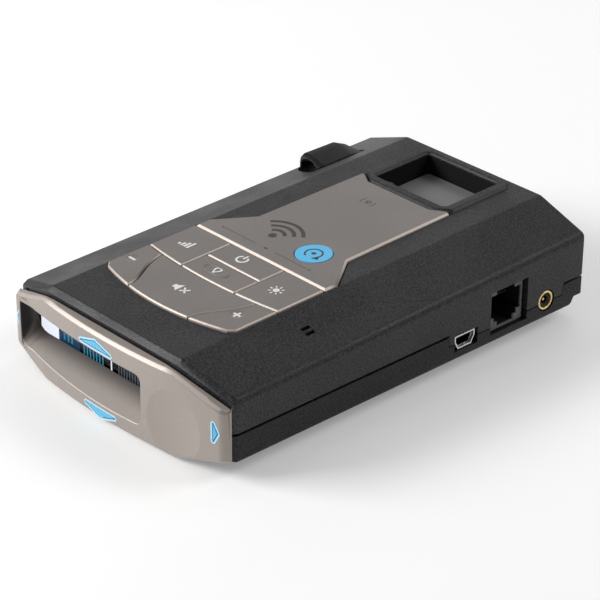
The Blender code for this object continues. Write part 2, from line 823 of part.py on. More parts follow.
def make_badge(deck_frame):
    plate = place("badge_plate", cap_plate(badge_outline(), -0.5, KEY_PROUD, 0.6), "trim", deck_frame)
    centre = (9.4, -2.7)
    cut(plate, "cut_disc_seat", tube(centre, 5.55, 0.0, 3.0, steps=40), deck_frame)
    place("badge_disc", tube(centre, 5.3, 0.25, KEY_PROUD + 0.05, steps=40), "blue", deck_frame)


# ---------------------------------------------------------------- mount pocket, button and latch


def make_mount(deck_frame):
    plate = chamfered(POCKET_HALF - GAP, POCKET_NEAR + GAP, POCKET_FAR - GAP, (0.8, 0.8), 0.8)
    bottom = -POCKET_DEPTH + GAP
    strike = place("strike_plate", prism(plate, "z", bottom, -PLATE_DEPTH), "plate", deck_frame)
    cut(strike, "cut_latch_notch", box((-16.0, -12.3), grow(LATCH_Y, 1.2), (-9.0, 0.0)), deck_frame)
    button = place("release_button", button_cap(), "rubber", origin=(-37.0, 47.4, 26.0), smooth=25)
    add(button, "add_button_stem", button_stem())
    cut(button, "cut_button_grip", button_grip())
    latch = place("release_latch", latch_bar(), "grey", origin=(-26.0, 48.8, 22.0))
    add(latch, "add_latch_lug", latch_lug())
    place("button_spring", coil(SPRING_PLACE, 1.8, 0.3, 11.9, 20.6, 6), "metal", smooth=60)


def button_cap():
    """The wedge on the left facet: a flat crest, a dark flank to the right and a long far ramp."""
    x0, x1 = BUTTON_X
    y0, y1 = BUTTON_Y
    crest = BUTTON_CREST
    rings = []
    for y, inset, top, flank in (
        (y0, 0.9, crest - 1.1, 29.3),
        (y0 + 1.3, 0.0, crest, 30.1),
        (y1 - 5.0, 0.0, crest, 30.3),
        (y1, 0.2, 29.4, 29.5),
    ):
        ring = [
            (x0 + inset, BUTTON_UNDER),
            (x1 - inset, BUTTON_UNDER),
            (x1 - inset, flank),
            (-37.8, top),
            (-40.4, top),
            (x0 + inset, top - 2.0),
        ]
        rings.append([(x, y, z) for x, z in ring])
    return loft(rings)


def button_grip():
    """The concave grip in the near end of the button."""
    y0 = BUTTON_Y[0]
    rings = []
    for y, share in ((y0 - 1.0, 1.05), (y0 + 0.4, 1.0), (y0 + 2.0, 0.8), (y0 + 3.0, 0.45)):
        rings.append([(-37.2 + u * 3.3 * share, y, 27.6 + v * 2.7 * share) for u, v in circle((0, 0), 1.0, 24)])
    return loft(rings)


def button_hole():
    """The hole for the button, drawn out in front of it as a round scoop for the fingertip."""
    x0, x1 = grow(BUTTON_X)
    far = BUTTON_Y[1] + GAP
    outline = [(x1, far), (x0, far), (x0, 39.4), (-40.6, 37.3), (-38.7, 36.1), (-36.5, 35.3)]
    outline += [(-34.4, 34.8), (-32.7, 34.7), (x1, 35.6)]
    return prism(outline, "z", 20.0, 40.0)


def wedge_x(z):
    """The slanting side of the button's wedge, which pushes the latch to the left as it comes down."""
    return WEDGE_FOOT[0] - (z - WEDGE_FOOT[1]) * WEDGE_RATIO


def button_stem():
    """The wedge under the button."""
    right, foot = -33.6, WEDGE_FOOT[1]
    top = BUTTON_UNDER + 0.5
    return prism([(right, top), (right, foot), (wedge_x(foot), foot), (wedge_x(top), top)], "y", *WEDGE_Y)


def latch_bar():
    """The latch's bar, stepped up at its right end into the tongue that crosses the pocket's wall."""
    low, high = LATCH_Z
    tongue = [(-16.3, 26.7), (-12.9, 26.7), (-12.9, 28.0), (-18.9, 28.0)]
    return prism([(-39.0, low), (-16.3, low), *tongue, (-18.9, high), (-39.0, high)], "y", *LATCH_Y)


def latch_lug():
    """The lug at the latch's left end, with a face parallel to the wedge."""
    low, high = LATCH_Z
    face = [(wedge_x(z) - GAP / 0.75, z) for z in LATCH_Z]
    return prism([(-40.2, low), *face, (-40.2, high)], "y", WEDGE_Y[0], LATCH_Y[1])


def coil(centre, radius, wire, low, high, turns, steps=14, sides=6):
    """A round wire wound about an upright axis, as one closed tube."""
    count = int(turns * steps)
    rows = []
    for i in range(count + 1):
        angle = 2 * math.pi * i / steps
        height = low + wire + (high - low - 2 * wire) * i / count
        out = Vector((math.cos(angle), math.sin(angle), 0))
        heart = Vector((centre[0], centre[1], height)) + out * radius
        section = circle((0, 0), wire, sides)
        rows.append([heart + out * u + Vector((0, 0, v)) for u, v in section])
    return loft(rows)


# ---------------------------------------------------------------- electronics


def main_board_outline():
    return [
        (-34.0, -48.0),
        (39.0, -48.0),
        (39.0, 61.0),
        (-24.0, 61.0),
        (-24.0, 40.0),
        (-34.0, 40.0),
    ]


def make_boards():
    bottom = BOARD_TOP - BOARD_THICK
    board = place("main_board", prism(main_board_outline(), "z", bottom, BOARD_TOP), "board")
    holes = bmesh.new()
    for x, y in SCREW_PLACES:
        tube((x, y), 4.4, 0.0, 20.0, bm=holes)
    cut(board, "cut_board_holes", holes)
    low = BOARD_TOP + GAP
    place("rf_shield", cap_plate(rounded((-22, 8), (-40, -16), 1.0, 2), low, low + 3.6, 0.5), "metal")
    place("processor", box((-16, -4), (-6, 6), (low, low + 1.4)), "chip")
    place("radio_module", box((-26, -12), (14, 30), (low, low + 2.2)), "metal")


def horn(x, throat_y, mouth_y, throat, mouth, low):
    """A cast horn antenna: a tapered shell, closed at its throat and open at its mouth."""
    wall = 1.2
    sign = 1 if mouth_y > throat_y else -1

    def ring(y, size, inset, bottom):
        half = size[0] / 2 - inset
        return [
            (x - half, y, bottom + inset),
            (x + half, y, bottom + inset),
            (x + half, y, bottom + size[1] - inset),
            (x - half, y, bottom + size[1] - inset),
        ]

    rings = [
        ring(throat_y, throat, 0.0, low),
        ring(mouth_y, mouth, 0.0, low),
        ring(mouth_y, mouth, wall, low),
        ring(throat_y + sign * wall, throat, wall, low),
    ]
    return loft(rings)


def make_antennas(deck_frame):
    low = BOARD_TOP + GAP
    place("front_horn", horn(6.0, 38.5, 65.5, (15, 9), (38, 14.4), low), "zinc")
    place("rear_horn", horn(24.6, -20.0, -42.0, (12, 8), (24, 12.6), low), "zinc")
    place("gps_antenna", box((-9, 9), (19, 37), (-6.2, -2.6)), "ceramic", deck_frame)


def socket_ring(outline, x):
    return [(x, y, z) for y, z in outline]


def usb_outline(inset=0.0):
    y0, y1 = USB_Y
    z0, z1 = USB_Z
    shape = [(y0, z1), (y1, z1), (y1, z1 - 1.7), (y1 - 1.3, z0), (y0 + 1.3, z0), (y0, z1 - 1.7)]
    return shrink(shape, inset)


def make_usb():
    """The small power and data socket: a folded steel shell with its contact tongue."""
    back = SOCKET_FACE - 8.5
    shell = [
        socket_ring(usb_outline(), back),
        socket_ring(usb_outline(), SOCKET_FACE),
        socket_ring(usb_outline(0.4), SOCKET_FACE),
        socket_ring(usb_outline(0.4), back + 0.8),
    ]
    place("usb_shell", loft(shell), "metal")
    tongue = box((back + 1.1, SOCKET_FACE - 1.0), (20.1, 23.9), (9.2, 10.3))
    place("usb_tongue", tongue, "chip")


def jack_cavity():
    """The modular jack's opening: shoulders above, a full-width plug space and two steps below."""
    middle = (JACK_Y[0] + JACK_Y[1]) / 2
    right = [(3.2, 8.1), (3.2, 9.6), (4.6, 9.6), (4.6, 11.0), (6.1, 11.0), (6.1, 18.1), (3.6, 18.1), (3.6, 19.3)]
    return [(middle + y, z) for y, z in right] + [(middle - y, z) for y, z in reversed(right)]


def contact_comb():
    """Six contact wires side by side, joined at the back."""
    middle = (JACK_Y[0] + JACK_Y[1]) / 2
    points = [(31.6, middle + 3.4), (31.6, middle - 3.4)]
    for i in range(6):
        y = middle + (i - 2.5) * 1.02
        points += [(32.6, y - 0.2), (40.6, y - 0.2), (40.6, y + 0.2), (32.6, y + 0.2)]
    return points


def make_modular_jack():
    body = box((29.6, SOCKET_FACE), JACK_Y, JACK_Z)
    jack = place("modular_jack", body, "grey")
    cut(jack, "cut_jack_cavity", prism(jack_cavity(), "x", 31.2, 60.0))
    place("jack_contacts", prism(contact_comb(), "z", 16.1, 16.5), "gold")


def make_earphone_jack():
    """The earphone jack: a body on the board, and its gilt ring that shows in the wall."""
    y, z = EARPHONE
    body = box((33.6, 40.6), (y - 3.2, y + 3.2), (BOARD_TOP + GAP, 13.0))
    jack = place("earphone_jack", body, "chip")
    add(jack, "add_jack_nose", tube(EARPHONE, 2.0, 40.0, SOCKET_FACE + 0.5, axis="x", steps=28))
    cut(jack, "cut_jack_bore", tube(EARPHONE, 1.2, 35.0, 50.0, axis="x", steps=20))
    ring = [
        socket_ring(circle(EARPHONE, 2.9, 28), SOCKET_FACE - 0.6),
        socket_ring(circle(EARPHONE, 2.9, 28), HALF_WIDTH - 0.3),
        socket_ring(circle(EARPHONE, 2.3, 28), HALF_WIDTH - 0.3),
        socket_ring(circle(EARPHONE, 2.3, 28), SOCKET_FACE - 0.6),
    ]
    bm = loft(ring + [ring[0]], caps=False)
    bmesh.ops.remove_doubles(bm, verts=bm.verts, dist=0.0001)
    place("earphone_ring", bm, "gold", smooth=40)


def make_speaker():
    """The sound unit behind the slots in the left wall."""
    face = -HALF_WIDTH + WALL + 0.6
    frame = rounded((-18.0, 6.0), (8.2, 20.6), 3.0, 3)
    place("speaker_frame", prism(frame, "x", face + 1.2, face + 5.6), "chip")
    cone = rounded((-16.0, 4.0), (9.6, 19.2), 3.4, 4)
    place("speaker_cone", prism(cone, "x", face + 0.1, face + 0.9), "grey")


LASER_X = (-33.0, -15.0)
LASER_Z = (14.6, 23.0)


def laser_outline(clearance, start, end):
    """The windscreen end's laser window, or the hole for it."""
    outline = rounded(grow(LASER_X, clearance), grow(LASER_Z, clearance), 1.4, 3)
    return prism(outline, "y", start, end)


def make_laser_parts():
    place("laser_lens", laser_outline(0.0, FAR_END - 1.9, FAR_END - 0.3), "lens")
    place("laser_sensor", box((-30.5, -17.5), (61.6, 66.4), (15.4, 22.0)), "chip")


def make_fasteners():
    """The four screws that come up through the lower shell into the upper one's bosses."""
    names = ("near_right", "near_left", "far_right", "far_left")
    for name, on_plan in zip(names, SCREW_PLACES):
        radius, head = SCREW_HEAD
        under = keel(on_plan[0]) + SCREW_RECESS
        steps = ((radius, under), (radius, under + head), (1.2, under + head), (1.2, 20.0))
        rings = [[(*point, z) for point in circle(on_plan, size, 20)] for size, z in steps]
        place("screw_" + name, loft(rings), "metal", smooth=40)


def make_label():
    place("rating_label", box((-20.0, 20.0), (-12.0, 12.0), (0.1, 0.3)), "label")


def main():
    clear_scene()
    deck_frame = bpy.data.objects.new("deck_frame", None)
    bpy.context.scene.collection.objects.link(deck_frame)
    deck_frame.location = (0.0, 0.0, DECK_HEIGHT * MM)
    deck_frame.rotation_euler = (TILT, 0.0, 0.0)
    make_top_casing(deck_frame)
    make_bottom_casing()
    make_bezel()
    for name in ARROWS:
        make_light_pipe(name)
    make_display()
    make_keys(deck_frame)
    make_key_parts(deck_frame)
    make_badge(deck_frame)
    make_mount(deck_frame)
    make_boards()
    make_antennas(deck_frame)
    make_usb()
    make_modular_jack()
    make_earphone_jack()
    make_speaker()
    make_laser_parts()
    make_fasteners()
    make_label()


main()
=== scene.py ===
"""The looks of the windscreen radar detector: finishes, printed symbols, display, lights and camera."""

import json
import math

import bmesh
import bpy
from mathutils import Matrix, Vector


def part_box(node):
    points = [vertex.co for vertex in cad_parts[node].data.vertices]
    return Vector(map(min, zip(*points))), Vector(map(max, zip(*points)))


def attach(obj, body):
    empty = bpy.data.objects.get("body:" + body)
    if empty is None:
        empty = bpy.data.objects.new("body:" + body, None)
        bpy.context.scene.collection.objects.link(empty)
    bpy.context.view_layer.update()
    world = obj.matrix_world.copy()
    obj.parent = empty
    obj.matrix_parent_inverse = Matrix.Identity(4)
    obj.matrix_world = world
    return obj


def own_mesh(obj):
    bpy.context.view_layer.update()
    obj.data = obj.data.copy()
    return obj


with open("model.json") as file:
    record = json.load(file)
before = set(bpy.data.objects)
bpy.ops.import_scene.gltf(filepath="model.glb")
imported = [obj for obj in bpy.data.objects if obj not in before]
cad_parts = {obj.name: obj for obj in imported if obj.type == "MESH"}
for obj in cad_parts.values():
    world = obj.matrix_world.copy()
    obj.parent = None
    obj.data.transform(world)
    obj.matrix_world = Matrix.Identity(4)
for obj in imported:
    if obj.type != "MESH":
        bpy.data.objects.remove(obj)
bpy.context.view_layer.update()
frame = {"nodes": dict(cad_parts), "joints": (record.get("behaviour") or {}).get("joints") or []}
nodes = frame["nodes"]
MM = 0.001

# The camera: a long lens, two thirds of a metre away
AIM = Vector((1.64, -0.59, 12.9)) * MM
DISTANCE = 685.2 * MM
AZIMUTH, ELEVATION, ROLL = 47.22, 28.22, 0.37
LENS, SENSOR = 146.44, 36.0

# The deck is the casing's top face. Keys move square to it, so their joint gives its tilt.
DECK_HEIGHT = 30.58
KEY_PROUD = 0.7
KEY_JOINT = next(joint for joint in frame["joints"] if joint["name"] == "key_power_press")
TILT = math.asin(KEY_JOINT["axis"][1])
DECK = Matrix.Translation((0, 0, DECK_HEIGHT * MM)) @ Matrix.Rotation(TILT, 4, "X")


# ---------------------------------------------------------------- node trees


class Paint:
    """A material under construction: one Principled shader and what feeds it."""

    def __init__(self, name, colour, roughness, metallic=0.0, **sockets):
        self.material = bpy.data.materials.new(name)
        self.material.use_nodes = True
        self.tree = self.material.node_tree
        self.shader = self.tree.nodes["Principled BSDF"]
        self.set("Base Color", (*colour, 1.0))
        self.set("Roughness", roughness)
        self.set("Metallic", metallic)
        for label, value in sockets.items():
            self.set(label.replace("_", " "), value)
        self.place = self.node("ShaderNodeTexCoord").outputs["Object"]

    def set(self, socket, value):
        self.shader.inputs[socket].default_value = value

    def link(self, output, socket):
        self.tree.links.new(output, self.shader.inputs[socket])

    def node(self, kind, inputs=(), **settings):
        """A new node with those inputs, each a value or another node's output, and those settings."""
        node = self.tree.nodes.new(kind)
        for name, value in settings.items():
            setattr(node, name, value)
        for socket, value in dict(inputs).items():
            if isinstance(value, bpy.types.NodeSocket):
                self.tree.links.new(value, node.inputs[socket])
            else:
                node.inputs[socket].default_value = value
        return node

    def noise(self, size, detail=2.0, roughness=0.5, stretch=None):
        """Noise whose grains are about that size, in millimetres. Stretch scales it along each axis."""
        vector = self.place
        if stretch:
            stretched = self.node("ShaderNodeVectorMath", {0: vector, 1: stretch}, operation="MULTIPLY")
            vector = stretched.outputs[0]
        inputs = {"Vector": vector, "Scale": 1 / (size * MM), "Detail": detail, "Roughness": roughness}
        return self.node("ShaderNodeTexNoise", inputs).outputs["Fac"]

    def cells(self, size):
        """The distance to the middle of the nearest of many cells of that size, in millimetres."""
        inputs = {"Vector": self.place, "Scale": 1 / (size * MM)}
        return self.node("ShaderNodeTexVoronoi", inputs).outputs["Distance"]

    def spread(self, value, low, high, out_low=0.0, out_high=1.0):
        """A value from low to high, turned smoothly into one from out_low to out_high."""
        inputs = {"Value": value, "From Min": low, "From Max": high, "To Min": out_low, "To Max": out_high}
        return self.node("ShaderNodeMapRange", inputs, interpolation_type="SMOOTHSTEP").outputs[0]

    def maths(self, operation, first, second):
        return self.node("ShaderNodeMath", {0: first, 1: second}, operation=operation).outputs[0]

    def blend(self, share, first, second):
        """The first colour at share 0 and the second at share 1."""
        mix = self.node("ShaderNodeMix", data_type="RGBA")
        for socket, value in (("Factor_Float", share), ("A_Color", first), ("B_Color", second)):
            target = next(item for item in mix.inputs if item.identifier == socket)
            if isinstance(value, bpy.types.NodeSocket):
                self.tree.links.new(value, target)
            else:
                target.default_value = (*value, 1.0) if isinstance(value, tuple) else value
        return next(item for item in mix.outputs if item.identifier == "Result_Color")

    def edges(self, radius):
        """Near 1 along edges over about 30 degrees and 0 on flats: rounded normals against true ones."""
        rounded = self.node("ShaderNodeBevel", {"Radius": radius * MM}, samples=4).outputs[0]
        flat = self.node("ShaderNodeNewGeometry").outputs["Normal"]
        along = self.node("ShaderNodeVectorMath", {0: rounded, 1: flat}, operation="DOT_PRODUCT")
        return self.spread(along.outputs["Value"], 0.97, 0.75)

    def upness(self):
        """How far the surface looks up or down: 1 on level faces, 0.7 on 45 degree chamfers, 0 on walls."""
        normal = self.node("ShaderNodeNewGeometry").outputs["Normal"]
        parts = self.node("ShaderNodeSeparateXYZ", {0: normal}).outputs
        return self.node("ShaderNodeMath", {0: parts[2]}, operation="ABSOLUTE").outputs[0]

    def chamfers(self):
        """1 on 45 degree chamfers under or over a level face."""
        inputs = {0: self.upness(), 1: 0.707, 2: 0.07}
        return self.node("ShaderNodeMath", inputs, operation="COMPARE").outputs[0]

    def nearness(self):
        """1 on faces that look to the driver or to the right, 0 on those that look the other way."""
        normal = self.node("ShaderNodeNewGeometry").outputs["Normal"]
        along = self.node("ShaderNodeVectorMath", {0: normal, 1: (0.5, -0.87, 0.0)}, operation="DOT_PRODUCT")
        return self.spread(along.outputs["Value"], -0.1, 0.25)

    def inside(self, low, high):
        """1 inside a box given by two corners in metres, and 0 outside it."""
        parts = self.node("ShaderNodeSeparateXYZ", {0: self.place}).outputs
        share = 1.0
        for part, near, far in zip(parts, low, high):
            inputs = {0: part, 1: (near + far) / 2, 2: (far - near) / 2}
            within = self.node("ShaderNodeMath", inputs, operation="COMPARE").outputs[0]
            share = self.maths("MULTIPLY", within, share)
        return share

    def bump(self, height, depth, strength=1.0, round_edges=0.0):
        """Relief of that depth, over edges that look rounded by that radius. Both are in millimetres."""
        inputs = {"Height": height, "Strength": strength, "Distance": depth * MM}
        if round_edges:
            bevel = self.node("ShaderNodeBevel", {"Radius": round_edges * MM}, samples=4)
            inputs["Normal"] = bevel.outputs[0]
        self.link(self.node("ShaderNodeBump", inputs).outputs[0], "Normal")


def moulded(name, colour, roughness, grain=0.45, depth=0.035, shaded_recesses=(), **sockets):
    """Moulded plastic with a spark-eroded grain, slightly uneven gloss and edges polished by handling.
    Inside the shaded recesses, given as boxes, painted shade darkens its colour nearly to black, and it is
    duller."""
    paint = Paint(name, colour, roughness, **sockets)
    fine = paint.noise(grain, 3.0, 0.65)
    broad = paint.noise(18.0, 2.0)
    speck = paint.spread(fine, 0.35, 0.68)
    bright = tuple(channel * 2.4 + 0.008 for channel in colour)
    dull = tuple(channel * 0.4 for channel in colour)
    shade = paint.blend(speck, dull, bright)
    worn = tuple(channel * 1.6 + 0.01 for channel in colour)
    edge = paint.maths("MULTIPLY", paint.edges(0.35), 0.5)
    shade = paint.blend(edge, shade, worn)
    gloss = paint.spread(broad, 0.3, 0.7, roughness - 0.05, roughness + 0.05)
    gloss = paint.maths("SUBTRACT", gloss, paint.maths("MULTIPLY", edge, 0.2))
    # Painted shade: inside each recess box the colour falls to six percent of its own
    for shaded_recess in shaded_recesses:
        painted_shade = paint.inside(*shaded_recess)
        shade = paint.blend(painted_shade, shade, tuple(channel * 0.06 for channel in colour))
        gloss = paint.maths("ADD", gloss, paint.maths("MULTIPLY", painted_shade, 0.4))
    paint.link(shade, "Base Color")
    paint.link(gloss, "Roughness")
    paint.bump(fine, depth, 0.8, round_edges=0.15)
    return paint.material


def painted(name, colour, roughness, metallic, highlight_colour, walls=False, hood=None):
    """Satin paint with metal flakes over fine orange peel. A painted highlight in the highlight colour
    lightens its chamfers, and faintly its edges. With walls, painted shade darkens its steep walls and
    chamfers instead, and a painted highlight lightens those that face the driver or the right. Inside the
    hood's box, painted shade darkens it towards the display and along the hood's left wall."""
    paint = Paint(name, colour, roughness, metallic, Coat_Weight=0.12, Coat_Roughness=0.35)
    flake = paint.spread(paint.cells(0.22), 0.15, 0.55)
    peel = paint.noise(0.9, 3.0, 0.6)
    tint = paint.noise(26.0, 1.0)
    light = tuple(channel * 1.12 for channel in colour)
    dark = tuple(channel * 0.88 for channel in colour)
    shade = paint.blend(flake, light, dark)
    shade = paint.blend(paint.spread(tint, 0.35, 0.65, 0.0, 0.35), shade, light)
    if walls:
        # Painted shade: steep walls and chamfers darkened to about a third of the paint's colour
        shaded_sides = paint.spread(paint.upness(), 0.95, 0.85)
        shade = paint.blend(shaded_sides, shade, tuple(channel * 0.35 for channel in colour))
        # Painted highlight on the walls and chamfers that face the driver or the right
        highlight_share = paint.maths("MULTIPLY", shaded_sides, paint.nearness())
    else:
        # Painted highlight on the chamfers, and faintly on every edge
        highlight_share = paint.maths("MAXIMUM", paint.maths("MULTIPLY", paint.edges(0.35), 0.2), paint.chamfers())
    shade = paint.blend(highlight_share, shade, highlight_colour)
    # Painted shade in the hood: darker towards the display, and darkest along its left wall
    if hood:
        x, y, _ = paint.node("ShaderNodeSeparateXYZ", {0: paint.place}).outputs
        painted_shade = paint.maths("MULTIPLY", paint.spread(y, -68.0 * MM, -61.5 * MM), 0.85)
        left = paint.maths("MULTIPLY", paint.spread(x, hood[0].x + 1.4 * MM, hood[0].x + 0.4 * MM), 0.93)
        dark = paint.maths("MULTIPLY", paint.maths("MAXIMUM", painted_shade, left), paint.inside(*hood))
        shade = paint.blend(dark, shade, (0.012, 0.010, 0.010))
    paint.link(shade, "Base Color")
    paint.link(paint.spread(flake, 0.0, 1.0, roughness - 0.04, roughness + 0.06), "Roughness")
    paint.bump(paint.maths("ADD", peel, paint.maths("MULTIPLY", flake, 0.35)), 0.010, 0.6, round_edges=0.2)
    return paint.material


def glossy(name, colour, roughness=0.12, **sockets):
    """Clear-coated or polished moulding with faint swirls."""
    paint = Paint(name, colour, roughness, **sockets)
    haze = paint.noise(3.0, 4.0, 0.7)
    light = tuple(min(1.0, channel * 1.08 + 0.004) for channel in colour)
    paint.link(paint.blend(haze, colour, light), "Base Color")
    paint.link(paint.spread(haze, 0.3, 0.7, roughness, roughness + 0.08), "Roughness")
    paint.bump(paint.noise(1.5, 2.0), 0.004, 0.4, round_edges=0.1)
    return paint.material


def metal(name, colour, roughness, along=(1.0, 1.0, 1.0), depth=0.006, share=1.0, shaded_recess=None):
    """Plated or cast metal: fine drawn scratches along one axis, duller patches and bright edges.
    Inside the shaded recess, given as a box, painted shade darkens it nearly to black."""
    paint = Paint(name, colour, roughness, share)
    scratch = paint.noise(0.35, 4.0, 0.7, stretch=along)
    patch = paint.noise(4.0, 3.0, 0.6)
    dark = tuple(channel * 0.72 for channel in colour)
    shade = paint.blend(paint.spread(patch, 0.4, 0.75, 0.0, 0.6), colour, dark)
    worn = tuple(min(1.0, channel * 1.2) for channel in colour)
    shade = paint.blend(paint.edges(0.2), shade, worn)
    # Painted shade inside the recess box
    if shaded_recess:
        shade = paint.blend(paint.inside(*shaded_recess), shade, tuple(channel * 0.03 for channel in colour))
    paint.link(shade, "Base Color")
    paint.link(paint.spread(scratch, 0.3, 0.7, roughness - 0.08, roughness + 0.12), "Roughness")
    paint.bump(scratch, depth, 0.6, round_edges=0.08)
    return paint.material


def ink(name, colour, roughness=0.5, glow=0.0):
    """Screen-printed ink, with the thin spots that such ink has."""
    paint = Paint(name, colour, roughness)
    thin = paint.spread(paint.noise(0.25, 3.0, 0.7), 0.25, 0.5)
    paint.link(paint.blend(thin, tuple(channel * 0.86 for channel in colour), colour), "Base Color")
    paint.bump(paint.noise(0.3, 2.0), 0.006, 0.5)
    if glow:
        paint.set("Emission Color", (*colour, 1.0))
        paint.set("Emission Strength", glow)
    return paint.material


def mask_green():
    """Solder mask over copper: darker lanes where there is no copper, and tinned vias."""
    paint = Paint("solder_mask", (0.015, 0.12, 0.05), 0.35, Coat_Weight=0.3, Coat_Roughness=0.2)
    lanes = paint.node(
        "ShaderNodeTexBrick",
        {
            "Vector": paint.place,
            "Scale": 180.0,
            "Mortar Size": 0.03,
            "Color1": (0.014, 0.15, 0.06, 1),
            "Color2": (0.012, 0.11, 0.045, 1),
            "Mortar": (0.008, 0.05, 0.025, 1),
        },
    ).outputs["Color"]
    dots = paint.spread(paint.cells(2.2), 0.07, 0.05)
    paint.link(paint.blend(dots, lanes, (0.72, 0.70, 0.62)), "Base Color")
    paint.link(dots, "Metallic")
    paint.bump(paint.noise(1.2, 3.0), 0.02, 0.5)
    return paint.material


def smoked():
    """The display's smoked window."""
    paint = Paint("smoked_window", (0.30, 0.31, 0.34), 0.03, Transmission_Weight=1.0, IOR=1.25)
    haze = paint.noise(6.0, 2.0)
    paint.link(paint.spread(haze, 0.3, 0.7, 0.02, 0.05), "Roughness")
    return paint.material


def rubber(name, colour, roughness=0.7):
    """Matt black rubber with a fine grain."""
    paint = Paint(name, colour, roughness, Sheen_Weight=0.15, Sheen_Roughness=0.5)
    fine = paint.noise(0.3, 3.0, 0.7)
    dark = tuple(channel * 0.7 for channel in colour)
    light = tuple(channel * 1.6 + 0.004 for channel in colour)
    paint.link(paint.blend(fine, dark, light), "Base Color")
    paint.link(paint.spread(fine, 0.3, 0.7, roughness - 0.1, roughness + 0.08), "Roughness")
    paint.bump(fine, 0.02, 0.7, round_edges=0.25)
    return paint.material


TAUPE = (0.235, 0.212, 0.196)
# The painted highlight colour for the keys' near walls and chamfers
HIGHLIGHT_CREAM = (0.52, 0.45, 0.40)
BLACK = (0.013, 0.0125, 0.0145)
# The casing's black darkened, as painted shade for the bottom casing's lower wall
SHADED_BLACK = (0.008, 0.0075, 0.0095)


def box_of(name, low_by=(0, 0, 0), high_by=(0, 0, 0)):
    """A CAD node's box in metres, with its low and high corners moved by millimetres."""
    low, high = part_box(name)
    return low + Vector(low_by) * MM, high + Vector(high_by) * MM


# Boxes that get painted shade: the mount pocket, the hood, the two facet slots and the inside of each socket
POCKET = box_of("strike_plate", (-2, -2, -1), (2, 2, 5.6))
HOOD = (Vector((-38.9, -69.8, 5.5)) * MM, Vector((15.3, -61.0, 20.6)) * MM)
SLOTS = [(Vector((x, -30.05, 20.0)) * MM, Vector((x + 1.0, -27.05, 32.0)) * MM) for x in (33.55, 35.35)]
JACK = box_of("modular_jack", high_by=(-0.5, 0, 0))
SHELL = box_of("usb_shell", high_by=(-0.05, 0, 0))

ARROW_GLOW = {"Emission_Color": (0.10, 0.50, 0.85, 1), "Emission_Strength": 0.02}
FINISHES = {
    # The casing gets painted shade in the mount pocket and the two facet slots
    "casing": moulded("casing_black", BLACK, 0.45, 0.55, 0.11, [POCKET, *SLOTS], Specular_IOR_Level=0.32),
    # The bottom casing: a darker, less specular copy of the casing's black, as painted shade
    "base": moulded("base_black_shaded", SHADED_BLACK, 0.45, 0.55, 0.11, [POCKET], Specular_IOR_Level=0.22),
    # The bezel's last colour is its painted highlight on the chamfers; its hood box gets painted shade
    "bezel": painted("bezel_taupe", (0.34, 0.298, 0.270), 0.42, 0.30, (0.45, 0.39, 0.35), hood=HOOD),
    # The keys: painted highlight on walls facing the driver or the right, painted shade on their other walls
    "key": painted("key_taupe", TAUPE, 0.42, 0.30, HIGHLIGHT_CREAM, walls=True),
    "blue": glossy("clear_blue", (0.085, 0.42, 0.68), 0.25, **ARROW_GLOW),
    "disc": ink("disc_blue", (0.10, 0.53, 0.90), 0.35),
    "lens": smoked(),
    "board": mask_green(),
    "metal": metal("plated_steel", (0.86, 0.86, 0.87), 0.30, (1.0, 6.0, 1.0)),
    "screw": metal("screw_steel", (0.45, 0.45, 0.46), 0.34),
    "gold": metal("gilt", (0.92, 0.70, 0.30), 0.24, share=0.8),
    "contact": metal("dull_gilt", (0.10, 0.072, 0.03), 0.5),
    # The USB shell gets painted shade inside the socket
    "shell": metal("folded_steel", (0.90, 0.88, 0.84), 0.34, (1.0, 6.0, 1.0), share=0.8, shaded_recess=SHELL),
    "zinc": metal("cast_zinc", (0.50, 0.51, 0.53), 0.45, depth=0.03),
    "rubber": rubber("black_rubber", (0.018, 0.018, 0.019)),
    "button": moulded("button_black", (0.006, 0.006, 0.007), 0.48, 0.3, 0.02, Specular_IOR_Level=0.2),
    "chip": moulded("chip_black", (0.010, 0.010, 0.011), 0.5, 0.25, 0.01, Specular_IOR_Level=0.25),
    # The jack's grey gets painted shade inside the jack
    "grey": moulded("jack_grey", (0.085, 0.085, 0.092), 0.40, 0.3, 0.008, [JACK], Specular_IOR_Level=0.2),
    "plate": ink("plate_grey", (0.22, 0.22, 0.224), 0.5),
    "ceramic": moulded("patch_ceramic", (0.58, 0.53, 0.43), 0.6, 0.4, 0.01),
    "label": ink("label_film", (0.58, 0.58, 0.58), 0.45),
    "ribbon": glossy("ribbon_amber", (0.45, 0.19, 0.04), 0.3),
    "white": ink("white_ink", (0.85, 0.85, 0.84), 0.45),
    "dark": ink("dark_ink", (0.045, 0.042, 0.040), 0.5),
    # Dark ink as painted shade, where a debossed mark would hold shadow
    "shadow": ink("deboss_shadow_ink", (0.105, 0.094, 0.086), 0.6),
    "pale": ink("pale_blue_ink", (0.42, 0.70, 0.88), 0.4),
    "panel": glossy("panel_black", (0.006, 0.006, 0.008), 0.12),
    "lit_white": ink("lit_white", (0.90, 0.91, 0.92), 0.4, 3.2),
    "lit_blue": ink("lit_blue", (0.008, 0.060, 0.14), 0.4, 1.6),
    "lit_teal": ink("lit_teal", (0.04, 0.36, 0.52), 0.4, 1.6),
    "lit_grey": ink("lit_grey", (0.24, 0.28, 0.31), 0.4, 0.8),
}

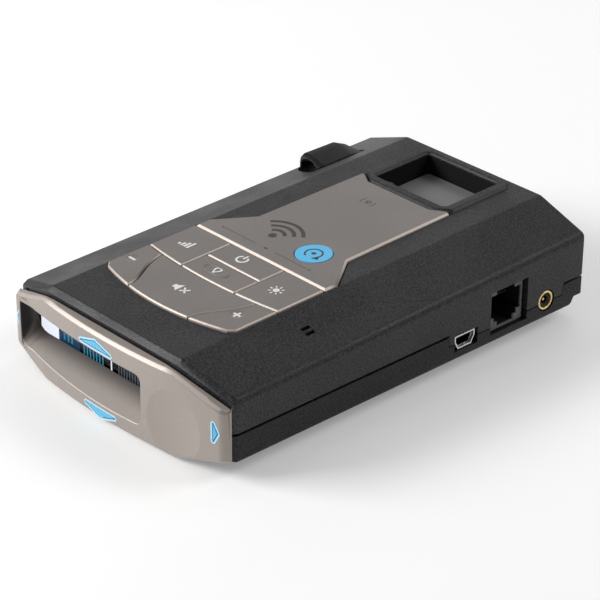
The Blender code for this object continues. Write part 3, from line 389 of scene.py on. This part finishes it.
NODE_FINISHES = {
    "top_casing": "casing",
    "bottom_casing": "base",
    "front_bezel": "bezel",
    "display_lens": "lens",
    "display_module": "panel",
    "display_board": "board",
    "display_ribbon": "ribbon",
    "badge_plate": "key",
    "badge_disc": "disc",
    "keypad_mat": "rubber",
    "key_board": "board",
    "strike_plate": "plate",
    "release_button": "button",
    "release_latch": "grey",
    "button_spring": "metal",
    "main_board": "board",
    "rf_shield": "metal",
    "processor": "chip",
    "radio_module": "metal",
    "front_horn": "zinc",
    "rear_horn": "zinc",
    "gps_antenna": "ceramic",
    "usb_shell": "shell",
    "usb_tongue": "chip",
    "modular_jack": "grey",
    "jack_contacts": "contact",
    "earphone_jack": "chip",
    "earphone_ring": "gold",
    "speaker_frame": "chip",
    "speaker_cone": "grey",
    "laser_lens": "panel",
    "laser_sensor": "chip",
    "rating_label": "label",
}
FAMILIES = {"light_pipe": "blue", "lamp": "label", "key": "key", "switch": "chip", "screw": "screw"}


def finish_of(name):
    """The finish of a CAD node, from its own name or from the start of it."""
    if name in NODE_FINISHES:
        return FINISHES[NODE_FINISHES[name]]
    return next(FINISHES[finish] for start, finish in FAMILIES.items() if name.startswith(start))


# How wide the rounding of each CAD part's edges is, in millimetres
USUAL_EDGE = 0.1
EDGES = {
    "top_casing": 0.15,
    "bottom_casing": 0.15,
    "front_bezel": 0.25,
    "release_button": 0.35,
    "strike_plate": 0.15,
    "jack_contacts": 0.04,
    "button_spring": None,
    "usb_shell": 0.06,
    "earphone_ring": 0.08,
    "display_ribbon": 0.03,
}
# Edges that turn outwards by more than the first angle are rounded. Those over the second stay crisp.
OUTER_ANGLE, CRISP_ANGLE = 28, 42


def angle_group(name, output, limit):
    """A geometry node group under construction, its incoming mesh, and which edges turn past the limit."""
    tree = bpy.data.node_groups.new(name, "GeometryNodeTree")
    for way in ("INPUT", "OUTPUT"):
        tree.interface.new_socket("Geometry", in_out=way, socket_type="NodeSocketGeometry")
    angle = tree.nodes.new("GeometryNodeInputMeshEdgeAngle")
    over = tree.nodes.new("FunctionNodeCompare")
    over.operation = "GREATER_THAN"
    over.inputs["B"].default_value = math.radians(limit)
    tree.links.new(angle.outputs[output], over.inputs["A"])
    return tree, tree.nodes.new("NodeGroupInput").outputs[0], over.outputs[0]


def outer_edge_group():
    """Gives every outward edge over the outer angle a bevel weight."""
    tree, mesh, chosen = angle_group("outer_edges", "Signed Angle", OUTER_ANGLE)
    store = tree.nodes.new("GeometryNodeStoreNamedAttribute")
    store.data_type, store.domain = "FLOAT", "EDGE"
    store.inputs["Name"].default_value = "bevel_weight_edge"
    tree.links.new(mesh, store.inputs["Geometry"])
    tree.links.new(chosen, store.inputs["Value"])
    tree.links.new(store.outputs[0], tree.nodes.new("NodeGroupOutput").inputs[0])
    return tree


def crisp_edge_group():
    """Marks every edge over the crisp angle as sharp."""
    tree, mesh, chosen = angle_group("crisp_edges", "Unsigned Angle", CRISP_ANGLE)
    shade = tree.nodes.new("GeometryNodeSetShadeSmooth")
    shade.domain = "EDGE"
    shade.inputs["Shade Smooth"].default_value = False
    tree.links.new(mesh, shade.inputs[0])
    tree.links.new(chosen, shade.inputs["Selection"])
    tree.links.new(shade.outputs[0], tree.nodes.new("NodeGroupOutput").inputs[0])
    return tree


OUTER_EDGES = outer_edge_group()
CRISP_EDGES = crisp_edge_group()

# Nodes with large holes through a flat wall. Joining the wall's triangles would fill such a hole.
WITH_HOLES = ("top_casing",)


def refine(obj, width):
    """Joins coplanar triangles, rounds outer edges and evens the shading, as modifiers over the CAD mesh."""
    mesh = obj.data
    mesh.attributes.remove(mesh.attributes["custom_normal"])
    mesh.shade_smooth()
    mesh.attributes.remove(mesh.attributes["sharp_edge"])
    weld = obj.modifiers.new("weld", "WELD")
    weld.merge_threshold = 0.002 * MM
    if width and obj.name not in WITH_HOLES:
        flat = obj.modifiers.new("flats", "DECIMATE")
        flat.decimate_type = "DISSOLVE"
        flat.angle_limit = math.radians(0.3)
    if width:
        obj.modifiers.new("outer_edges", "NODES").node_group = OUTER_EDGES
        bevel = obj.modifiers.new("edges", "BEVEL")
        bevel.limit_method = "WEIGHT"
        bevel.width = width * MM
        bevel.segments = 2
        bevel.use_clamp_overlap = False
        bevel.miter_outer = "MITER_ARC"
    obj.modifiers.new("crisp_edges", "NODES").node_group = CRISP_EDGES
    shade = obj.modifiers.new("shading", "WEIGHTED_NORMAL")
    shade.keep_sharp = True
    shade.weight = 80


def dress_nodes():
    """Gives every CAD node its finish and its rounded edges."""
    for name, obj in nodes.items():
        obj.data.materials.clear()
        obj.data.materials.append(finish_of(name))
        refine(obj, EDGES.get(name, USUAL_EDGE))


dress_nodes()


# ---------------------------------------------------------------- mesh helpers


def piece(name, bm, finish, body, place=None):
    """A bmesh, in metres, as a piece that rides on a body."""
    bmesh.ops.recalc_face_normals(bm, faces=bm.faces)
    mesh = bpy.data.meshes.new(name)
    bm.to_mesh(mesh)
    bm.free()
    mesh.materials.append(FINISHES[finish])
    obj = bpy.data.objects.new(name, mesh)
    bpy.context.scene.collection.objects.link(obj)
    if place is not None:
        obj.matrix_world = place
    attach(obj, body)
    return obj


def joined(bm, rows):
    """The bmesh with faces between each row of points and the next, and between the last and the first."""
    for near, far in zip(rows, rows[1:] + rows[:1]):
        for i in range(len(near)):
            j = (i + 1) % len(near)
            bm.faces.new((near[i], near[j], far[j], far[i]))
    return bm


def solid(outline, low, high, bm=None):
    """An outline in the XY plane, drawn out from low to high. All in metres."""
    bm = bm or bmesh.new()
    rows = [[bm.verts.new((x, y, z)) for x, y in outline] for z in (low, high)]
    count = len(outline)
    for i in range(count):
        j = (i + 1) % count
        bm.faces.new((rows[0][i], rows[0][j], rows[1][j], rows[1][i]))
    bm.faces.new(rows[0])
    bm.faces.new(rows[1])
    return bm


def on_deck(x, y, height=0.0):
    """A place on the deck, in the deck's own plane, from millimetres."""
    return DECK @ Matrix.Translation(Vector((x, y, height)) * MM)


# ---------------------------------------------------------------- flat shapes for symbols, in millimetres


def bar(x, y, long, wide, turn=0.0):
    """A bar about (x, y)."""
    along = Vector((math.cos(turn), math.sin(turn))) * long / 2
    across = Vector((-math.sin(turn), math.cos(turn))) * wide / 2
    centre = Vector((x, y))
    near, far = centre - across, centre + across
    return [near - along, near + along, far + along, far - along]


def disc(x, y, radius, steps=28):
    """A round outline about (x, y)."""
    turns = [2 * math.pi * i / steps for i in range(steps)]
    return [Vector((x + radius * math.cos(a), y + radius * math.sin(a))) for a in turns]


def arc(x, y, radius, wide, start, end, steps=20):
    """A stretch of ring, from one angle to another in degrees."""
    turns = [math.radians(start + (end - start) * i / steps) for i in range(steps + 1)]
    far, near = radius + wide / 2, radius - wide / 2
    outer = [Vector((x + far * math.cos(a), y + far * math.sin(a))) for a in turns]
    inner = [Vector((x + near * math.cos(a), y + near * math.sin(a))) for a in turns]
    return outer + inner[::-1]


def rays(count, inner, outer, wide):
    """Bars that point away from (0, 0), between two radii."""
    shapes = []
    for i in range(count):
        turn = 2 * math.pi * i / count
        middle = (inner + outer) / 2
        shapes.append(bar(middle * math.cos(turn), middle * math.sin(turn), outer - inner, wide, turn))
    return shapes


def oval_ring(half_long, half_wide, width, steps=36):
    """A thin oval ring, as a row of short bars end to end."""
    turns = [2 * math.pi * i / steps for i in range(steps + 1)]
    points = [Vector((half_long * math.cos(a), half_wide * math.sin(a))) for a in turns]
    shapes = []
    for here, there in zip(points, points[1:]):
        middle, way = (here + there) / 2, there - here
        shapes.append(bar(middle.x, middle.y, way.length + 0.02, width, math.atan2(way.y, way.x)))
    return shapes


SPEAKER = [(-2.5, -0.75), (-1.5, -0.75), (-0.1, -1.9), (-0.1, 1.9), (-1.5, 0.75), (-2.5, 0.75)]
LEVEL = bar(0, 0, 2.7, 0.62)
STUBS = [bar(0, y, 0.92, 0.62, math.pi / 2) for y in (0.89, -0.89)]
CROSS = [bar(1.9, 0, 3.1, 0.55, turn) for turn in (math.pi / 4, -math.pi / 4)]
PIN_POINT = [(-0.95, -0.05), (0, -1.9), (0.95, -0.05), (0.42, -0.1), (0, -0.8), (-0.42, -0.1)]
SYMBOLS = {
    "key_minus": [LEVEL],
    "key_plus": [LEVEL, *STUBS],
    "key_power": [arc(0, 0, 1.65, 0.6, 125, 415, 30), bar(0, 1.35, 1.9, 0.6, math.pi / 2)],
    "key_mute": [SPEAKER, *CROSS],
    "key_sensitivity": [
        bar(1.15 * i - 1.7, 0.42 * i - 0.9, 0.95 + 0.84 * i, 0.75, math.pi / 2) for i in range(4)
    ],
    "key_brightness": [disc(0, 0, 0.95)] + rays(8, 1.45, 2.25, 0.42),
    "key_mark": [arc(0, 0.7, 1.0, 0.55, -60, 240, 24), PIN_POINT],
}
# Where each symbol stands on its key, in the deck's plane
SYMBOL_PLACES = {
    "key_minus": (-23.3, -40.3),
    "key_plus": (20.3, -40.3),
    "key_power": (-1.6, -19.2),
    "key_mute": (-0.9, -42.0),
    "key_sensitivity": (-19.2, -24.4),
    "key_brightness": (17.8, -24.2),
    "key_mark": (-1.6, -28.6),
}
INK = 0.03


def print_on(name, shapes, place, finish, body, thickness=INK, sink=0.02):
    """Flat shapes as a thin raised print."""
    bm = bmesh.new()
    for shape in shapes:
        solid([(x * MM, y * MM) for x, y in shape], -sink * MM, thickness * MM, bm=bm)
    return piece(name, bm, finish, body, place)


# How far the two dimples take their symbols below the key's face
DIMPLED = {"key_minus": 0.2, "key_plus": 0.2}


def make_symbols():
    """A white symbol on each key, and the thin oval round the mark key's."""
    for key, shapes in SYMBOLS.items():
        x, y = SYMBOL_PLACES[key]
        height = KEY_PROUD - DIMPLED.get(key, 0.0)
        print_on("symbol_" + key[4:], shapes, on_deck(x, y, height), "white", key, 0.08, 0.06)
    x, y = SYMBOL_PLACES["key_mark"]
    oval = oval_ring(4.6, 1.75, 0.3)
    print_on("mark_oval", oval, on_deck(x, y, KEY_PROUD), "key", "key_mark", 0.1)


def make_plate_prints():
    """A plain rule, signal waves and a small pin on the plate, and a turning arrow on the disc."""
    top = KEY_PROUD
    rule = [bar(x, 0, 13.4, 0.13) for x in (-12.6, 8.3)]
    rule += [disc(x, 0, 0.32, 14) for x in (-19.9, 15.6)]
    rule.append([(-1.25, 0), (-2.15, 0.45), (-3.05, 0), (-2.15, -0.45)])
    print_on("plate_rule", rule, on_deck(0, -10.1, top), "dark", "detector")
    waves = [disc(0, 0, 1.25)] + [arc(0, 0, radius, 1.15, 38, 142, 24) for radius in (3.4, 6.0, 8.6)]
    print_on("plate_waves", waves, on_deck(-6.5, -3.6, top), "dark", "detector")
    pointer = [arc(0, 0, 0.75, 0.34, -60, 240)]
    pointer.append([(-0.7, 0), (0, -1.5), (0.7, 0), (0.25, 0), (0, -0.6), (-0.25, 0)])
    pointer += [arc(0, -0.3, 2.3, 0.3, start, start + 70, 10) for start in (-35, 145)]
    print_on("plate_pin", pointer, on_deck(-2.8, 30.0, top), "shadow", "detector")
    turning = [arc(0, 0, 2.5, 0.5, -30, 250, 36), [(1.35, -2.5), (2.45, -0.1), (3.45, -1.9)]]
    turning.append(disc(0, 0, 0.7))
    print_on("disc_turn", turning, on_deck(9.4, -2.7, top + 0.05), "dark", "detector")


# ---------------------------------------------------------------- bezel: arrow rims and display content

BEZEL_BULGE = 215.0
BEZEL_FRONT = -70.3
ARROWS = {
    "up": [(-8.8, 22.0), (4.0, 22.0), (-2.4, 23.95)],
    "down": [(-7.4, 3.55), (5.1, 3.55), (-1.1, 1.55)],
    "left": [(-40.6, 11.3), (-40.6, 16.5), (-42.0, 13.9)],
    "right": [(40.6, 11.3), (40.6, 16.5), (42.0, 13.9)],
}
RIM_INNER, RIM_OUTER = 0.26, 0.78
RIM_SINK, RIM_LIFT = 0.05, 0.035


def bezel_face(x):
    """Where the bezel's bulged front lies at x, in millimetres."""
    return BEZEL_FRONT + x * x / (2 * BEZEL_BULGE)


def offset_loop(corners, distance, turns=5):
    """The loop at a distance outside a triangle, with an arc round each corner.
    All such loops have the same number of points."""
    count = len(corners)
    area = sum(corners[i][0] * corners[i - 1][1] - corners[i - 1][0] * corners[i][1] for i in range(count))
    side = 1 if area < 0 else -1
    points = []
    for i in range(count):
        before, here, after = (Vector(corners[(i + k) % count]) for k in (-1, 0, 1))
        normals = [Vector((edge.y, -edge.x)).normalized() * side for edge in (here - before, after - here)]
        for step in range(turns):
            lean = normals[0].lerp(normals[1], step / (turns - 1)).normalized()
            points.append(here + lean * distance)
        following = here + normals[1] * distance
        end = after + normals[1] * distance
        points += [following.lerp(end, share / 6) for share in range(1, 6)]
    return points


def make_arrow_rims():
    """The pale printed outline round each arrow, which follows the bezel's bulge."""
    for name, corners in ARROWS.items():
        bm = bmesh.new()
        rows = []
        for distance, lift in (
            (RIM_INNER, -RIM_SINK),
            (RIM_INNER, RIM_LIFT),
            (RIM_OUTER, RIM_LIFT),
            (RIM_OUTER, -RIM_SINK),
        ):
            loop = offset_loop(corners, distance)
            rows.append([bm.verts.new(Vector((x, bezel_face(x) - lift, z)) * MM) for x, z in loop])
        piece("rim_" + name, joined(bm, rows), "pale", "detector")


def upright(shapes, y, name, finish):
    """Flat (x, z) shapes as thin prints on a face that looks along -Y."""
    place = Matrix.Translation((0, y, 0)) @ Matrix.Rotation(math.pi / 2, 4, "X")
    return print_on(name, shapes, place, finish, "detector", 0.04, 0.01)


def make_display_content():
    """What the display shows: a light block, a blue block and rows of bars, with no words."""
    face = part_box("display_module")[0].y
    foot, top = 9.2, 18.9

    def block(left, right, bottom=foot, up=top):
        return [(left, bottom), (right, bottom), (right, up), (left, up)]

    upright([block(-38.6, -30.8)], face, "display_speed", "lit_white")
    upright([block(-30.5, -21.5)], face, "display_band", "lit_blue")
    specks = [block(x, x + 0.7, foot + 1.0, foot + 3.2) for x in (-28.6, -26.9, -25.3)]
    upright(specks, face - 0.02 * MM, "display_specks", "lit_teal")
    teal = [block(x, x + 0.55, foot, 15.0) for x in (-19.9 + 1.35 * i for i in range(7))]
    upright(teal, face, "display_bars", "lit_teal")
    upright([block(-8.1, -7.6, foot, 14.8)], face, "display_tick", "lit_white")
    grey = [block(x, x + 0.45, foot, 13.4) for x in (-4.9 + 1.15 * i for i in range(12))]
    upright(grey, face, "display_scale", "lit_grey")
    upright([block(11.0, 13.6, foot, 14.6)], face, "display_level", "lit_teal")


# ---------------------------------------------------------------- socket details


def make_usb_lip():
    """The turned lip of the small socket's steel shell, which stands forward of the shell to the wall."""
    low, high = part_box("usb_shell")
    skirt, taper, lip, forward = 1.7 * MM, 1.3 * MM, 0.36 * MM, 0.95 * MM
    outer = [(low.y, high.z), (high.y, high.z), (high.y, high.z - skirt)]
    outer += [(high.y - taper, low.z), (low.y + taper, low.z), (low.y, high.z - skirt)]
    middle, reach = (low + high) / 2, (high - low) / 2
    inner = []
    for y, z in outer:
        inner_y = middle.y + (y - middle.y) * (1 - lip / reach.y)
        inner_z = middle.z + (z - middle.z) * (1 - lip / reach.z)
        inner.append((inner_y, inner_z))
    bm = bmesh.new()
    face = high.x + forward
    rings = ((high.x, outer), (face, outer), (face, inner), (high.x, inner))
    rows = [[bm.verts.new((x, y, z)) for y, z in outline] for x, outline in rings]
    piece("usb_lip", joined(bm, rows), "shell", "detector")


def make_earphone_contact():
    """The earphone socket's centre contact."""
    low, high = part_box("earphone_ring")
    centre = (low + high) / 2
    place = Matrix.Translation((0, centre.y, centre.z)) @ Matrix.Rotation(math.pi / 2, 4, "Y")
    contact = solid([point * MM for point in disc(0, 0, 0.38, 16)], 41.0 * MM, 43.3 * MM)
    piece("earphone_contact", contact, "gold", "detector", place)


def squash_spring():
    """Gives the coil spring a mesh of its own."""
    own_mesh(nodes["button_spring"])


make_usb_lip()
make_earphone_contact()
squash_spring()
make_symbols()
make_plate_prints()
make_arrow_rims()
make_display_content()


# ---------------------------------------------------------------- stage, light and camera


def make_camera():
    """The camera looks at the aim from its azimuth and elevation, turned a little by its roll."""
    azimuth, elevation, roll = (math.radians(angle) for angle in (AZIMUTH, ELEVATION, ROLL))
    level = Vector((math.cos(azimuth), math.sin(azimuth), 0))
    out = Vector((math.sin(azimuth), -math.cos(azimuth), 0))
    back = out * math.cos(elevation) + Vector((0, 0, math.sin(elevation)))
    plumb = back.cross(level)
    right = level * math.cos(roll) + plumb * math.sin(roll)
    up = plumb * math.cos(roll) - level * math.sin(roll)
    data = bpy.data.cameras.new("camera")
    data.lens = LENS
    data.sensor_width = SENSOR
    data.clip_start, data.clip_end = 0.05, 10.0
    camera = bpy.data.objects.new("camera", data)
    bpy.context.scene.collection.objects.link(camera)
    camera.matrix_world = Matrix((right, up, back)).transposed().to_4x4()
    camera.location = AIM + back * DISTANCE
    bpy.context.scene.camera = camera


def softbox(name, place, size, power, aim=(0, 0, 0.01)):
    """A soft rectangular light. Sizes and places are in metres, and its power is in watts."""
    data = bpy.data.lights.new(name, "AREA")
    data.shape = "RECTANGLE"
    data.size, data.size_y = size
    data.energy = power
    light = bpy.data.objects.new(name, data)
    bpy.context.scene.collection.objects.link(light)
    light.location = place
    light.rotation_euler = (Vector(aim) - Vector(place)).to_track_quat("-Z", "Y").to_euler()


# The floor glows a little, as a light table does, so that it stays pale round a dark object
FLOOR_GLOW = 0.24
WORLD_GLOW = 0.22


def make_stage():
    """A plain pale floor, an even world light and four softboxes."""
    bm = solid([(-3, -3), (3, -3), (3, 3), (-3, 3)], -0.01, -0.0002)
    mesh = bpy.data.meshes.new("floor")
    bmesh.ops.recalc_face_normals(bm, faces=bm.faces)
    bm.to_mesh(mesh)
    bm.free()
    glow = {"Emission_Color": (1, 1, 1, 1), "Emission_Strength": FLOOR_GLOW}
    floor = Paint("floor_white", (0.88, 0.88, 0.88), 0.6, **glow)
    mesh.materials.append(floor.material)
    obj = bpy.data.objects.new("floor", mesh)
    bpy.context.scene.collection.objects.link(obj)
    world = bpy.data.worlds.new("studio")
    world.use_nodes = True
    background = world.node_tree.nodes["Background"]
    background.inputs["Color"].default_value = (1.0, 1.0, 1.0, 1.0)
    background.inputs["Strength"].default_value = WORLD_GLOW
    bpy.context.scene.world = world
    bpy.context.scene.view_settings.view_transform = "Standard"
    softbox("front_light", (-0.6, -0.72, 0.5), (0.6, 0.35), 10.5)
    softbox("far_light", (-0.9, 0.7, 0.35), (1.0, 0.6), 1.5)
    softbox("shoulder_light", (0.5, 0.65, 0.68), (0.45, 0.45), 3.0)
    softbox("facet_light", (-0.18, 0.56, 0.80), (0.3, 0.3), 0.6)


make_camera()
make_stage()
